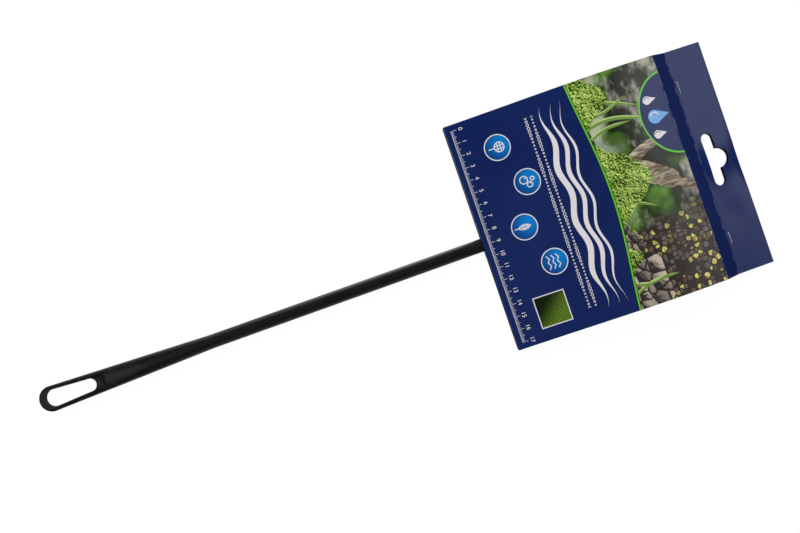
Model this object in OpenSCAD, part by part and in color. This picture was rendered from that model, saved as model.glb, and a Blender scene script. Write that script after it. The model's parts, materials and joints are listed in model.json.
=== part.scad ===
// Aquarium fish net in its retail card, lying on its back.
// The handle runs along X with its eye at the low end, and Z is up.
// Lengths along the handle are counted from the tip of the eye, as "s".

/* [Handle] */
// Length of the moulded handle from the tip of the eye to its neck
handle_len = 367.5; // [340:0.5:380]
// Radius of the rod at its neck
rod_r = 5.15; // [4.4:0.05:5.2]
// Radius of the rod where the flare to the eye begins
rod_root_r = 5.4; // [5.2:0.05:5.6]
// Distance from the tip to the place where the flare begins
flare_len = 140; // [110:1:180]
// Radius of the eye's round end in plan
eye_r = 9.95; // [9:0.05:10.6]
// Thickness of the eye
eye_t = 6.6; // [5:0.1:8]
// Radius that rounds the rim of the eye
eye_round = 1.8; // [1:0.1:2.4]
// Width of the plastic at the tip of the eye
tip_wall = 4.6; // [3.5:0.1:7]
// Width of the rail beside the wide end of the hanging hole
rail_w = 3.25; // [2.4:0.05:4]
// Radius of the narrow end of the hanging hole
hole_narrow_r = 4.9; // [4:0.1:5.4]
// Length of the hanging hole
hole_len = 41.4; // [32:0.1:46]
// Length of the sunk web beside the hanging hole
throat_len = 6.4; // [4:0.1:9]
// Thickness of the sunk web
throat_t = 3.0; // [2:0.1:4.5]
// Width of the sunk web and of the scooped flat
scoop_w = 11.2; // [9:0.1:12]
// Length of the scooped flat that rises to the rod
scoop_len = 32; // [24:1:40]
// Depth of the scooped flat at its low end
scoop_depth = 1.3; // [0.6:0.1:1.6]
// Radius of the air bore that lets the handle float
bore_r = 3.2; // [2.6:0.1:3.5]
// Distance from the tip to the start of the air bore
bore_start = 98; // [92:1:200]

/* [Frame] */
// Width of the net across the far bar, over its hem
frame_w = 170; // [130:1:220]
// Depth of the net along the handle, over its hem
frame_d = 138; // [120:1:180]
// Length of bare tail between the socket's nose and the bends
tail_free = 1.6; // [0.5:0.1:4]
// Diameter of the spring wire
wire_d = 2.2; // [1.8:0.1:2.6]
// Wall of the black coating on the wire
coat_wall = 0.65; // [0.4:0.05:0.9]
// Radius of the frame's corners at the wire's middle
corner_r = 14; // [12:1:20]
// Radius where the wire turns out of the handle
tail_bend_r = 6; // [5:0.5:8]
// Distance between the two wire tails
tail_gap = 5; // [4.2:0.1:5.4]
// Solid length of the socket's collar behind the wire's ends
tail_floor = 2; // [1:0.5:4]
// Length of the socket's collar
socket_len = 15; // [15:0.5:17]
// Length of the socket's plug in the air bore
plug_len = 14; // [8:1:20]
// Length of the taper on the socket's nose
nose_len = 3; // [1:0.5:5]
// Radius of the socket's nose at its mouth
nose_r = 4.4; // [4.1:0.1:4.8]

/* [Net] */
// Thickness of the hem's tape
tape_t = 0.7; // [0.4:0.1:1]
// Width of the hem's flange inside the wire
flange_w = 6; // [4:0.5:8]
// Thickness of the hem's flange
flange_t = 1.4; // [1:0.1:2]
// Length of one stitch
stitch_len = 3.4; // [2:0.1:4]
// Distance from one stitch to the next
stitch_pitch = 6.2; // [5:0.1:9]
// Width of a stitch's thread
thread_w = 0.6; // [0.4:0.1:0.8]
// Height of a stitch's thread
thread_h = 0.4; // [0.2:0.1:0.6]
// Width of each gathered side seam of the bag
seam_w = 4; // [3:0.5:6]
// Height of the folded bag's lowest face above the card
bag_lift = 0.6; // [0.3:0.1:1.5]
// Gap from the folds of the bag to the front panel, kept while the net is drawn out
bag_head_gap = 1.3; // [1:0.1:3]
// Length that the net can be drawn out of the card
draw_room = 24; // [10:1:24]
// Depth of the valleys between the bag's folds
fold_depth = 3.6; // [0:0.1:5]
// Number of folds that the bag is laid in
folds = 4; // [3:1:5]

/* [Card] */
// Margin of the card beyond the frame on each side
side_margin = 5; // [2:0.5:12]
// Thickness of the card
card_t = 0.45; // [0.3:0.05:0.5]
// Margin of the front panel beyond the far bar, up to the first crease
far_margin = 3.8; // [3:0.1:12]
// Length of the handle's neck inside the card
neck_inside = 6; // [2:0.5:12]
// Rise of the front panel from the bottom wall to the first crease
front_rise = 3.6; // [2:0.1:8]
// Extra height of the front panel where the bag arches it
crown_h = 7.6; // [0:0.1:12]
// Power that moves the top of that arch towards the header
crown_skew = 1.6; // [1:0.1:2]
// Length of the steep fall from the first crease to the stapled crease
fall_len = 11.7; // [8:0.1:16]
// Height of the stapled crease
staple_h = 6.7; // [6:0.1:9]
// Length of the header from the stapled crease to its free edge
header_len = 30; // [28:0.1:36]
// Gap between the header's two plies at the free edge
ply_gap = 1.6; // [0.3:0.1:2.5]
// Length over which the back panel rises to the stapled crease
rise_len = 20; // [19:0.5:24]
// Sideways shift of the card on the handle
card_shift = 4.6; // [0:0.1:4.8]
// Angle that the net lies askew in the card
net_skew = 0.7; // [0:0.1:0.8]

/* [Hang slot] */
// Width of the hang slot across the header
slot_w = 41.8; // [30:0.1:44]
// Height of the hang slot's narrow part
slot_h = 9; // [5:0.1:10]
// Diameter of the hang slot's round middle
slot_bump_d = 15.4; // [11:0.1:16]
// Height of the hang slot with its round middle
slot_full_h = 16.8; // [15.5:0.1:18]
// Distance from the stapled crease to the hang slot
slot_inset = 6.1; // [3:0.1:8]
// Distance by which the back ply's hang slot lies nearer the staples
back_slot_shift = 1; // [0:0.1:2]

/* [Card fittings] */
// Height of the card below the slot that the handle passes through
pass_sill = 1.15; // [0.8:0.05:3]
// Height of the card above that slot
pass_rim = 1.35; // [1:0.05:4]
// Width of a staple over its legs
staple_w = 9.4; // [8:0.1:12.7]
// Side of the staple's wire
staple_wire = 0.5; // [0.4:0.05:0.7]
// Distance from the card's side to the middle of a staple
staple_edge = 28.7; // [8:0.1:60]
// Distance from the stapled crease to the staples
staple_inset = 2.9; // [1.2:0.1:4]
// Length of a staple's clinched foot
clinch_len = 3.4; // [2:0.1:4]

/* [Fits] */
// Clearance above and below the rod in the card's slot
pass_fit = 0.15; // [0.1:0.05:0.5]
// Clearance on each side of the eye in the card's slot
eye_fit = 1.1; // [0.5:0.1:4]
// Clearance round the wire in its coating and in the socket
wire_fit = 0.05; // [0.02:0.01:0.1]
// Clearance between the coating and the hem
hem_fit = 0.05; // [0.02:0.01:0.1]
// Clearance round the plug in the air bore
plug_fit = 0.05; // [0.02:0.01:0.1]
// Clearance between soft pieces and what they lie against
soft_gap = 0.2; // [0.1:0.05:0.4]
// Clearance in the creases where the front panel turns
crease_gap = 0.05; // [0.03:0.01:0.1]
// Clearance between the two stapled plies
ply_fit = 0.05; // [0.03:0.01:0.1]
// Clearance round a staple's legs in the card
leg_fit = 0.05; // [0.03:0.01:0.1]

/* [Hidden] */

over = 1;               // how far a cut runs past what it cuts
round_fn = 64;          // sides of a drawn circle
hull_fn = 32;           // sides of a circle inside a hull
crown_steps = 16;       // straight runs along the front panel's crown
fold_steps = 10;        // straight runs along each fold of the bag
flare_slice = 0.2;      // thin slice that starts the flare
flare_lip = 0.02;       // how far that slice stands proud of the rod

// Sizes that follow from the fits
hole_wide_r = eye_r - rail_w;
coat_d = wire_d + 2 * (wire_fit + coat_wall);
tail_len = socket_len - tail_floor;
pass_h = 2 * (rod_root_r + pass_fit);
pass_w = 2 * (eye_r + eye_fit);

// Places along the handle, counted from the tip
hole_s0 = tip_wall;
hole_s1 = tip_wall + hole_len;
scoop_s0 = hole_s1 + throat_len;
socket_s1 = handle_len + socket_len;

// The frame's rectangle, at the middle of the wire
hem_r = coat_d / 2 + hem_fit + tape_t;
near_s = socket_s1 + tail_free + tail_bend_r;
far_s = near_s + frame_d - 2 * hem_r;
half_w = frame_w / 2 - hem_r;
tail_y = tail_gap / 2;
flange_reach = hem_r + flange_w;

// The card, cut to the net that it holds
card_w = frame_w + 2 * side_margin;
card_s = handle_len - neck_inside;
crease_s = far_s + hem_r + far_margin;
front_len = crease_s - card_s;
staple_s = crease_s + fall_len;
header_s = staple_s + header_len;
total_len = header_s;
axis_h = pass_sill + pass_h / 2;
wall_h = pass_sill + pass_h + pass_rim;
crease_h = wall_h + front_rise;
back_top = card_t;
header_drop = staple_h - 2 * card_t - ply_gap;
header_tilt = atan(header_drop / header_len);
hinge_z = wall_h - card_t / 2;
staple_span = card_w - 2 * staple_edge;

// The bag inside the frame
bag_z0 = back_top + bag_lift;
bag_s0 = near_s + flange_reach + soft_gap;
bag_s1 = far_s - flange_reach - soft_gap;
bag_half_w = half_w - flange_reach - soft_gap - seam_w;
bag_corner_r = max(corner_r - flange_reach - soft_gap, seam_w);

// Moves what is drawn from the tip of the eye to the part's own origin
module from_tip() translate([-total_len / 2, 0, 0]) children();

// The same for the pieces of the net, which lie askew in the slot that the handle passes through
module on_net() from_tip() translate([card_s, -card_shift, 0]) rotate([0, 0, net_skew])
    translate([-card_s, 0, 0]) children();

// The same for the pieces that lie on the handle's axis
module on_axis() on_net() translate([0, 0, axis_h]) children();

// Turns a profile or a cylinder from Z to the handle's direction
module along_s(s) translate([s, 0, 0]) rotate([0, 90, 0]) children();

// Outline of the hanging hole: a slot with a wide and a narrow end
module hole_outline() {
    hull() {
        translate([hole_s0 + hole_wide_r, 0]) circle(r = hole_wide_r, $fn = hull_fn);
        translate([hole_s1 - hole_narrow_r, 0]) circle(r = hole_narrow_r, $fn = hull_fn);
    }
}

// The rod and the flare that widens to the eye
module handle_body() {
    along_s(flare_len) cylinder(h = handle_len - flare_len, r1 = rod_root_r, r2 = rod_r, $fn = round_fn);
    hull() {
        along_s(flare_len - flare_slice)
            cylinder(h = flare_slice, r = (rod_root_r + flare_lip) / cos(180 / hull_fn), $fn = hull_fn);
        translate([eye_r, 0, -eye_t / 2]) cylinder(h = eye_t, r = eye_r - eye_round, $fn = hull_fn);
        translate([eye_r, 0, eye_round - eye_t / 2])
            cylinder(h = eye_t - 2 * eye_round, r = eye_r, $fn = hull_fn);
    }
}

// The flat that is scooped from one face, with the sunk web beside the hole
module scoop() {
    flare_slope = (rod_root_r - eye_t / 2) / (flare_len - eye_r);
    face_z = eye_t / 2 + flare_slope * (scoop_s0 - eye_r);
    angle = atan(flare_slope + scoop_depth / scoop_len);
    translate([scoop_s0, -scoop_w / 2, face_z - scoop_depth])
        rotate([0, -angle, 0]) cube([scoop_len * 2, scoop_w, rod_root_r]);
    translate([hole_s1 - hole_narrow_r, -scoop_w / 2, throat_t / 2])
        cube([hole_narrow_r + throat_len, scoop_w, rod_root_r]);
}

module handle() {
    color("#1c1c1e") on_axis() difference() {
        handle_body();
        translate([0, 0, -rod_root_r - over])
            linear_extrude(2 * (rod_root_r + over)) hole_outline();
        for (up = [0, 1]) mirror([0, 0, up]) scoop();
        along_s(bore_start) cylinder(h = handle_len - bore_start + over, r = bore_r, $fn = round_fn);
    }
}

// Plug that closes the air bore and holds the two wire tails
module frame_socket() {
    color("#232326") on_axis() difference() {
        union() {
            along_s(handle_len - plug_len) cylinder(h = plug_len, r = bore_r - plug_fit, $fn = round_fn);
            along_s(handle_len) cylinder(h = socket_len - nose_len, r = rod_r, $fn = round_fn);
            along_s(socket_s1 - nose_len) cylinder(h = nose_len, r1 = rod_r, r2 = nose_r, $fn = round_fn);
        }
        for (side = [-1, 1]) translate([0, side * tail_y, 0]) along_s(socket_s1 - tail_len)
            cylinder(h = tail_len + over, r = wire_d / 2 + wire_fit, $fn = round_fn);
    }
}

// Sweeps a profile round the frame. The profile's +X points out of the frame.
module round_frame() {
    straight_w = half_w - corner_r;
    straight_d = far_s - near_s - 2 * corner_r;
    translate([far_s, straight_w, 0]) rotate([90, 0, 0]) linear_extrude(2 * straight_w) children();
    for (side = [0, 1]) mirror([0, side, 0]) {
        translate([far_s - corner_r, straight_w, 0])
            rotate_extrude(angle = 90, $fn = round_fn) translate([corner_r, 0]) children();
        translate([near_s + corner_r, straight_w, 0]) rotate([0, 0, 90])
            rotate_extrude(angle = 90, $fn = round_fn) translate([corner_r, 0]) children();
        translate([near_s + corner_r, half_w, 0]) rotate([90, 0, 90])
            linear_extrude(straight_d) children();
        translate([near_s, tail_y + tail_bend_r, 0]) rotate([90, 0, 180])
            linear_extrude(straight_w - tail_y - tail_bend_r) children();
    }
}

// Sweeps a profile round the two bends that lead from the near bar to the tails
module round_tail_bends() {
    for (side = [0, 1]) mirror([0, side, 0])
        translate([near_s - tail_bend_r, tail_y + tail_bend_r, 0]) rotate([0, 0, -90])
            rotate_extrude(angle = 90, $fn = round_fn) translate([tail_bend_r, 0]) children();
}

// Lays a profile along both tails, from s to the bend
module along_tails(s) {
    for (side = [-1, 1]) translate([s, side * tail_y, 0]) rotate([90, 0, 90])
        linear_extrude(near_s - tail_bend_r - s) children();
}

// Sweeps a round bar of radius r along the frame and back to s in the socket
module wire_run(r, s) {
    round_frame() circle(r = r, $fn = round_fn);
    round_tail_bends() circle(r = r, $fn = round_fn);
    along_tails(s) circle(r = r, $fn = round_fn);
}

// Spring wire bent to the net's rectangle, with both ends in the socket
module frame_wire() {
    color("silver") on_axis() wire_run(wire_d / 2, socket_s1 - tail_len);
}

// Black plastic coating on the wire, as far as the socket's mouth
module frame_coating() {
    color("#101011") on_axis() difference() {
        wire_run(coat_d / 2, socket_s1);
        wire_run(wire_d / 2 + wire_fit, socket_s1 - over);
    }
}

// Woven tape folded round the coated wire, with the flange that grips the bag
module hem_section() {
    difference() {
        union() {
            circle(r = hem_r, $fn = round_fn);
            translate([-flange_reach, -flange_t / 2]) square([flange_reach, flange_t]);
        }
        circle(r = coat_d / 2 + hem_fit, $fn = round_fn);
    }
}

module hem_band() color("#17171a") on_axis() round_frame() hem_section();

// One row of stitches from a to b, centred, lying along X
module stitch_row(len) {
    count = floor(len / stitch_pitch);
    for (i = [0 : count - 1])
        translate([(i - (count - 1) / 2) * stitch_pitch - stitch_len / 2, -thread_w / 2, flange_t / 2])
            cube([stitch_len, thread_w, thread_h]);
}

// Lockstitches along the middle of the hem's flange, on both of its faces
module hem_thread() {
    line = hem_r + flange_w / 2;
    straight_w = half_w - corner_r;
    near_len = straight_w - tail_y - tail_bend_r;
    mid_s = (near_s + far_s) / 2;
    color("#3a3a3f") on_axis() for (up = [0, 1]) mirror([0, 0, up]) {
        translate([far_s - line, 0, 0]) rotate([0, 0, 90]) stitch_row(2 * straight_w);
        for (side = [0, 1]) mirror([0, side, 0]) {
            translate([mid_s, half_w - line, 0]) stitch_row(far_s - near_s - 2 * corner_r);
            translate([near_s + line, tail_y + tail_bend_r + near_len / 2, 0])
                rotate([0, 0, 90]) stitch_row(near_len);
        }
    }
}

// Height of the front panel's underside at a place along the handle
function front_height(s) =
    let (share = (s - card_s) / front_len)
    wall_h - card_t + front_rise * share + crown_h * sin(180 * pow(max(share, 0), crown_skew));

// Height of the folded bag at a share of its length, with rounded folds
function bag_height(share) =
    let (s = bag_s0 + (bag_s1 - bag_s0) * share,
         crest = min(front_height(s), front_height(s - draw_room)) - bag_head_gap,
         wave = abs(sin(180 * folds * share)))
    crest - fold_depth * (1 - wave) * (1 - wave);

// Side view of the folded bag
module bag_side() {
    steps = folds * fold_steps;
    len = bag_s1 - bag_s0;
    polygon(concat(
        [[bag_s0, bag_z0], [bag_s1, bag_z0]],
        [for (i = [steps : -1 : 0]) [bag_s0 + len * i / steps, bag_height(i / steps)]]
    ));
}

// Plan of the folded bag, with rounded corners
module bag_plan() {
    r = bag_corner_r;
    w = bag_half_w - r;
    translate([bag_s0, -w]) square([bag_s1 - bag_s0, 2 * w]);
    translate([bag_s0 + r, -bag_half_w]) square([bag_s1 - bag_s0 - 2 * r, 2 * bag_half_w]);
    for (s = [bag_s0 + r, bag_s1 - r]) for (side = [-1, 1])
        translate([s, side * w]) circle(r = r, $fn = round_fn);
}

// Mesh bag laid in folds inside the frame
module net_bag() {
    color("#222428") on_net() intersection() {
        linear_extrude(crease_h + crown_h) bag_plan();
        translate([0, bag_half_w + over, 0]) rotate([90, 0, 0])
            linear_extrude(2 * (bag_half_w + over)) bag_side();
    }
}

// The bag's two side seams, gathered where its folds end
module side_seams() {
    inset = bag_corner_r;
    color("#2d2e33") on_net() for (side = [-1, 1])
        translate([0, side * (bag_half_w + seam_w / 2), 0])
            intersection() {
                translate([0, seam_w / 2, 0]) rotate([90, 0, 0]) linear_extrude(seam_w) bag_side();
                translate([bag_s0 + inset, -seam_w, 0])
                    cube([bag_s1 - bag_s0 - 2 * inset, 2 * seam_w, crease_h + crown_h]);
            }
}

// Outline of a bent sheet: its lower line, and the same line raised square to it
function unit(v) = v / norm(v);
function normal(v) = [-v[1], v[0]];
function corner_shift(path, i, t) =
    let (a = unit(path[max(i, 1)] - path[max(i, 1) - 1]),
         last = len(path) - 1,
         b = unit(path[min(i + 1, last)] - path[min(i + 1, last) - 1]),
         m = unit(normal(a) + normal(b)))
    m * t / (m * normal(a));
function sheet_outline(path, t) = concat(
    path, [for (i = [len(path) - 1 : -1 : 0]) path[i] + corner_shift(path, i, t)]
);

// Draws a bent sheet across the whole width of the card
module bent_sheet(path) {
    translate([0, card_w / 2, 0]) rotate([90, 0, 0])
        linear_extrude(card_w) polygon(sheet_outline(path, card_t));
}

// Cuts the hang slot through a ply of the header, a shift nearer the staples
module hang_slot(shift) {
    slot_s = staple_s + slot_inset - shift;
    bump_s = slot_s + slot_full_h - slot_bump_d / 2;
    end_y = (slot_w - slot_h) / 2;
    translate([0, 0, -over]) linear_extrude(crease_h + 2 * over) {
        translate([slot_s, -end_y]) square([slot_h, 2 * end_y]);
        for (side = [-1, 1]) translate([slot_s + slot_h / 2, side * end_y])
            circle(d = slot_h, $fn = round_fn);
        translate([bump_s, 0]) circle(d = slot_bump_d, $fn = round_fn);
    }
}

// Places what is drawn at a staple, with X down the header's slope
module at_staple(side) {
    translate([staple_s, side * staple_span / 2, staple_h])
        rotate([0, header_tilt, 0]) translate([staple_inset, 0, 0]) children();
}

// Holes for the staples' legs, through both plies
module staple_holes() {
    hole = staple_wire + 2 * leg_fit;
    for (side = [-1, 1]) at_staple(side)
        for (leg = [-1, 1]) translate([-hole / 2, leg * (staple_w - staple_wire) / 2 - hole / 2, -wall_h / 2])
            cube([hole, hole, wall_h]);
}

// Back panel with the bottom wall and the header's back ply
module card_back() {
    ply_z = staple_h - 2 * card_t / cos(header_tilt) - ply_fit;
    color("#22386f") from_tip() difference() {
        union() {
            bent_sheet([
                [card_s, 0], [staple_s - rise_len, 0], [staple_s, ply_z], [header_s, 0]
            ]);
            translate([card_s, -card_w / 2, 0]) cube([card_t, card_w, wall_h - card_t - crease_gap]);
        }
        hang_slot(back_slot_shift);
        staple_holes();
        translate([card_s - over, -card_shift, axis_h]) along_s(0) pass_outline();
    }
}

// Slot in the bottom wall for the handle and its eye
module pass_outline() {
    end_y = (pass_w - pass_h) / 2;
    linear_extrude(card_t + 2 * over) {
        translate([-pass_h / 2, -end_y]) square([pass_h, 2 * end_y]);
        for (side = [-1, 1]) translate([0, side * end_y]) circle(d = pass_h, $fn = round_fn);
    }
}

// Front panel with the header's front ply, which opens at the bottom wall
module card_front() {
    ply_z = staple_h - card_t / cos(header_tilt);
    panel_s = card_s + card_t / 2;
    crown = [for (i = [0 : crown_steps])
        let (s = panel_s + (crease_s - panel_s) * i / crown_steps) [s, front_height(s)]];
    color("#27407c") from_tip() difference() {
        union() {
            bent_sheet(concat(crown, [[staple_s, ply_z], [header_s, card_t + ply_gap]]));
            translate([card_s + card_t / 2, card_w / 2, hinge_z]) rotate([90, 0, 0])
                cylinder(h = card_w, d = card_t, $fn = round_fn);
        }
        hang_slot(0);
        staple_holes();
    }
}

// One wire staple: crown on the front ply, legs through both, feet folded in behind
module staple() {
    leg_len = 2 * (card_t + ply_fit) + ply_gap * staple_inset / header_len;
    leg_y = (staple_w - staple_wire) / 2;
    translate([-staple_wire / 2, -staple_w / 2, 0]) cube([staple_wire, staple_w, staple_wire]);
    for (side = [0, 1]) mirror([0, side, 0]) {
        translate([-staple_wire / 2, leg_y - staple_wire / 2, -leg_len])
            cube([staple_wire, staple_wire, leg_len]);
        translate([-staple_wire / 2, leg_y + staple_wire / 2 - clinch_len, -leg_len - staple_wire])
            cube([staple_wire, clinch_len, staple_wire]);
    }
}

module staples() color("#c9ccd2") from_tip() for (side = [-1, 1]) at_staple(side) staple();

handle();
frame_socket();
frame_wire();
frame_coating();
hem_band();
hem_thread();
net_bag();
side_seams();
card_back();
card_front();
staples();
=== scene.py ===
import json
from math import atan, atan2, copysign, cos, exp, pi, radians, sin

import bpy
import mathutils
from mathutils import Matrix, Vector


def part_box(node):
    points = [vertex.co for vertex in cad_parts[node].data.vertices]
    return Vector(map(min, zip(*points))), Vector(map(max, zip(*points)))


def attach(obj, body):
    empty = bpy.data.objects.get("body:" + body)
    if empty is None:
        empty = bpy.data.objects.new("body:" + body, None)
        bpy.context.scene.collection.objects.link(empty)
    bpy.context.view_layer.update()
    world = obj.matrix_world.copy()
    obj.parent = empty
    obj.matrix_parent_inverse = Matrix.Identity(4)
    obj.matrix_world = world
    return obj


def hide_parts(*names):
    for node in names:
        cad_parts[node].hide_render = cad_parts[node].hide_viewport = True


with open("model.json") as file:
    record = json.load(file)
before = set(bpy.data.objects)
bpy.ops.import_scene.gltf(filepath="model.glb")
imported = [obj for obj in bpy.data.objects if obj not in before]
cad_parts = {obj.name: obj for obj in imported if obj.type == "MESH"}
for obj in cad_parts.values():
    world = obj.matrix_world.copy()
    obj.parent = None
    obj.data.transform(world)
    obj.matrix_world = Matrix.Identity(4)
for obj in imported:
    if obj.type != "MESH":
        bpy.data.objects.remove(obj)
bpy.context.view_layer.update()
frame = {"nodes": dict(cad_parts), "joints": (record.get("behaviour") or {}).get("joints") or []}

mm = 0.001


def inMm(**lengths):
    return {name: length * mm for name, length in lengths.items()}


print("solids loaded:", ", ".join(sorted(frame["nodes"])))


# Camera straight above, turned so that the handle climbs to the right

photoView = {
    "width": 800, "focal": 1041,  # pixels, the focal length from how the card narrows where it lies lower
    "above": 808.8 * mm, "beforeCard": 65.5 * mm,
    "besideMiddle": 0.35 * mm,  # towards the picture's top
    "turn": 18.95,  # degrees
    "sensor": 36,
}
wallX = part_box("card_back")[0].x  # outside of the card's bottom wall

bpy.ops.object.select_all(action="DESELECT")
bpy.ops.object.camera_add(
    location=(wallX - photoView["beforeCard"], photoView["besideMiddle"], photoView["above"]),
    rotation=(0, 0, radians(-photoView["turn"])))
camera = bpy.context.object
camera.name = "photoCamera"
camera.data.sensor_width = photoView["sensor"]
camera.data.lens = photoView["sensor"] * photoView["focal"] / photoView["width"]
camera.data.clip_start, camera.data.clip_end = 0.01, 20
bpy.context.scene.camera = camera
print("camera placed")


# Modelling helpers

mesh = bpy.ops.mesh


def unit(value):
    return min(1, max(0, value))


def choose(*pieces):  # nothing selected but these, the first one active
    bpy.ops.object.select_all(action="DESELECT")
    for piece in pieces:
        piece.select_set(True)
    bpy.context.view_layer.objects.active = pieces[0]


def added(make, **settings):  # what an operator adds, with nothing else selected
    bpy.ops.object.select_all(action="DESELECT")
    make(**settings)
    return bpy.context.object


def settle(piece):  # moves the object's place, turn and scale into its mesh
    choose(piece)
    bpy.ops.object.transform_apply(location=True, rotation=True, scale=True)
    return piece


def startEdit(piece, kind=None):  # with everything selected, or nothing when one kind of part is meant
    choose(piece)
    bpy.ops.object.mode_set(mode="EDIT")
    if kind:
        mesh.select_mode(type=kind)
    mesh.select_all(action="DESELECT" if kind else "SELECT")


def leaveEdit():
    bpy.ops.object.mode_set(mode="OBJECT")


def onAll(piece, step, **settings):  # one mesh operator on the whole of a piece
    startEdit(piece)
    step(**settings)
    leaveEdit()


def onEdges(piece, test, step, **settings):  # the same on the edges whose two ends pass
    startEdit(piece, "EDGE")
    leaveEdit()
    points = piece.data.vertices
    for edge in piece.data.edges:
        edge.select = test(*[points[end].co for end in edge.vertices])
    bpy.ops.object.mode_set(mode="EDIT")
    step(**settings)
    leaveEdit()


def faceOutward(piece):
    onAll(piece, mesh.normals_make_consistent, inside=False)


def useModifier(piece, kind, **settings):
    choose(piece)
    modifier = piece.modifiers.new(kind.title(), kind)
    for key, value in settings.items():
        setattr(modifier, key, value)
    bpy.ops.object.modifier_apply(modifier=modifier.name)


def combine(piece, other, operation="DIFFERENCE"):
    useModifier(piece, "BOOLEAN", operation=operation, object=other, solver="EXACT")
    bpy.data.objects.remove(other)


def joinPieces(pieces):
    choose(*pieces)
    bpy.ops.object.join()
    return settle(bpy.context.object)


def wrapped(*pieces):  # one convex skin round them all
    made = joinPieces(pieces)
    onAll(made, mesh.convex_hull)
    return made


def dress(piece, name, body, slot, degrees, *materials, instead=True):
    choose(piece)
    if degrees:
        bpy.ops.object.shade_smooth_by_angle(angle=radians(degrees))
    piece.name = piece.data.name = name
    while len(piece.data.materials) < len(materials):
        piece.data.materials.append(None)
    for place, material in enumerate(materials):
        piece.data.materials[place] = material
    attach(piece, body)
    if instead:
        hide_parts(slot)
    print(name, "made:", len(piece.data.polygons), "faces")


def addCylinder(radius, depth, place, turn=(0, 0, 0), sides=96):
    return settle(added(mesh.primitive_cylinder_add, vertices=sides, radius=radius, depth=depth,
                        location=place, rotation=turn))


def addBox(size, place, turn=(0, 0, 0)):
    made = added(mesh.primitive_cube_add, size=1, location=place, rotation=turn)
    made.scale = size
    return settle(made)


alongX = (0, radians(90), 0)


def slotCutter(width, height, depth, place, turn=(0, 0, 0)):  # round at both ends
    x, y, z = place
    return wrapped(*[addCylinder(height / 2, depth, (x, y + side * (width - height) / 2, z), turn, sides=64)
                     for side in (1, -1)])


def rounded(points, radius, steps=5):  # the same line with its corners rounded
    line = [Vector(points[0])]
    for before, corner, after in zip(points, points[1:], points[2:]):
        corner = Vector(corner)
        start, end = [corner + (Vector(other) - corner).normalized() * radius for other in (before, after)]
        for share in (step / steps for step in range(steps + 1)):
            line.append(start.lerp(corner, share).lerp(corner.lerp(end, share), share))
    return line + [Vector(points[-1])]


def drawLine(points, closed=False):  # a line of edges, made a curve
    line = added(mesh.primitive_circle_add, vertices=len(points))
    for vertex, point in zip(line.data.vertices, points):
        vertex.co = point
    if not closed:  # drop the edge that closes the circle
        ends = [Vector(points[0]), Vector(points[-1])]
        onEdges(line, lambda a, b: min((a - ends[0]).length + (b - ends[1]).length,
                                       (a - ends[1]).length + (b - ends[0]).length) < 1e-7,
                mesh.delete, type="EDGE")
    choose(line)
    bpy.ops.object.convert(target="CURVE")
    return bpy.context.object


def sweep(points, radius=None, section=None):  # a round or drawn section carried along a line
    line = drawLine(points)
    line.data.twist_mode = "Z_UP"
    line.data.use_fill_caps = True
    if section:
        line.data.bevel_mode = "OBJECT"
        line.data.bevel_object = section
    else:
        line.data.bevel_depth, line.data.bevel_resolution = radius, 3
    choose(line)
    bpy.ops.object.convert(target="MESH")
    made = bpy.context.object
    if section:
        bpy.data.objects.remove(section)
    onAll(made, mesh.remove_doubles, threshold=0.001 * mm)
    faceOutward(made)
    return made


# Lie of the net: its pieces are made square to the card and then laid askew with the handle

netLie = inMm(handleLength=367.5, neckInside=6, beside=4.6)
handleLow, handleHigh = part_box("handle")
axisY = -netLie["beside"]
axisZ = (handleLow.z + handleHigh.z) / 2
neckX = wallX + netLie["neckInside"]
tipX = neckX - netLie["handleLength"]
joints = {joint["name"]: joint for joint in frame["joints"]}
drawAxis = joints["net_draw"]["axis"]
pivot = Matrix.Translation((wallX, axisY, 0))
askew = pivot @ Matrix.Rotation(atan2(-drawAxis[1], -drawAxis[0]), 4, "Z") @ pivot.inverted()


def layAskew(piece):
    piece.matrix_world = askew @ piece.matrix_world
    return settle(piece)


# Material helpers: a value is a number or a node's socket, and a socket knows its tree

shaderInputs = {
    "roughness": "Roughness", "metallic": "Metallic", "specular": "Specular IOR Level", "colour": "Base Color",
    "coat": "Coat Weight", "coatRough": "Coat Roughness", "sheen": "Sheen Weight", "sheenRough": "Sheen Roughness",
}


def feed(node, key, value):
    socket = node.inputs[key]
    if isinstance(value, bpy.types.NodeSocket):
        socket.id_data.links.new(value, socket)
    elif socket.type == "RGBA":
        socket.default_value = (*value[:3], 1)
    else:
        socket.default_value = value


def newMaterial(name, **looks):
    material = bpy.data.materials.new(name)
    material.use_nodes = True
    shader = material.node_tree.nodes["Principled BSDF"]
    for key, value in looks.items():
        feed(shader, shaderInputs[key], value)
    return material, shader, addNode("ShaderNodeTexCoord", tree=material.node_tree).outputs["Object"]


def colourFrom(*values):  # screen values 0 to 255 to linear shares
    shares = [value / 255 for value in values]
    return tuple(share / 12.92 if share <= 0.04045 else ((share + 0.055) / 1.055) ** 2.4 for share in shares)


def darker(colour, share):
    return tuple(value * share for value in colour)


def addNode(kind, inputs=(), tree=None, **settings):  # inputs in order, or by name or number
    if not isinstance(inputs, dict):
        inputs = dict(enumerate(inputs))
    if not tree:
        tree = next(value.id_data for value in inputs.values() if isinstance(value, bpy.types.NodeSocket))
    node = tree.nodes.new(kind)
    for key, value in settings.items():
        setattr(node, key, value)
    for key, value in inputs.items():
        feed(node, key, value)
    return node


def sums(operation, *values, clamp=False):
    return addNode("ShaderNodeMath", values, operation=operation, use_clamp=clamp).outputs[0]


def scaled(value, gain, shift, clamp=False):
    return sums("MULTIPLY_ADD", value, gain, shift, clamp=clamp)


def less(first, second, clamp=False):
    return sums("SUBTRACT", first, second, clamp=clamp)


def times(first, second):
    return sums("MULTIPLY", first, second)


def plus(first, second):
    return sums("ADD", first, second)


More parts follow.
